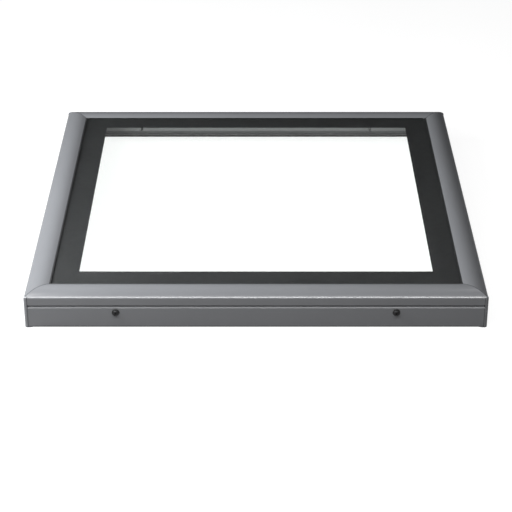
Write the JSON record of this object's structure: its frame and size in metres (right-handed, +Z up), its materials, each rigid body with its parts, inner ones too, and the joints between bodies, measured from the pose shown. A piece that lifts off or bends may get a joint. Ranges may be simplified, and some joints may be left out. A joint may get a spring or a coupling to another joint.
{
  "type": "flat glass rooflight cover",
  "caption": "Square flat glass rooflight cover: a glass pane with a black border in a grey aluminium frame with a convex flange and a grooved skirt.",
  "frame": {"origin": "on the floor, under the middle of the cover, level with the undersides of its corner pieces", "axes": "+Z up, -Y towards the front skirt with two screws that faces the viewer, +X to the viewer's right"},
  "size_m": [0.962, 0.962, 0.0801],
  "materials": {
    "frame_aluminium": "grey powder coat, satin, fine texture",
    "corner_aluminium": "grey powder coat, satin, on a casting",
    "glass": "clear toughened float glass",
    "enamel": "black fired enamel",
    "gasket_rubber": "matte black EPDM",
    "bonding_tape": "matte black foam tape",
    "seal_rubber": "matte black EPDM",
    "black_screw": "black coated steel",
    "washer_rubber": "matte black EPDM"
  },
  "bodies": {
    "root": {"frame_front": "frame_aluminium", "frame_right": "frame_aluminium", "frame_back": "frame_aluminium", "frame_left": "frame_aluminium", "corner_front_left": "corner_aluminium", "corner_front_right": "corner_aluminium", "corner_back_right": "corner_aluminium", "corner_back_left": "corner_aluminium", "glass_pane": "glass", "enamel_border": "enamel", "glazing_gasket_front": "gasket_rubber", "glazing_gasket_right": "gasket_rubber", "glazing_gasket_back": "gasket_rubber", "glazing_gasket_left": "gasket_rubber", "bonding_tape_front": "bonding_tape", "bonding_tape_right": "bonding_tape", "bonding_tape_back": "bonding_tape", "bonding_tape_left": "bonding_tape", "kerb_seal_front": "seal_rubber", "kerb_seal_right": "seal_rubber", "kerb_seal_back": "seal_rubber", "kerb_seal_left": "seal_rubber", "screw_front_near": "black_screw", "washer_front_near": "washer_rubber", "screw_front_far": "black_screw", "washer_front_far": "washer_rubber", "screw_right_near": "black_screw", "washer_right_near": "washer_rubber", "screw_right_far": "black_screw", "washer_right_far": "washer_rubber", "screw_back_near": "black_screw", "washer_back_near": "washer_rubber", "screw_back_far": "black_screw", "washer_back_far": "washer_rubber", "screw_left_near": "black_screw", "washer_left_near": "washer_rubber", "screw_left_far": "black_screw", "washer_left_far": "washer_rubber"}
  },
  "joints": []
}
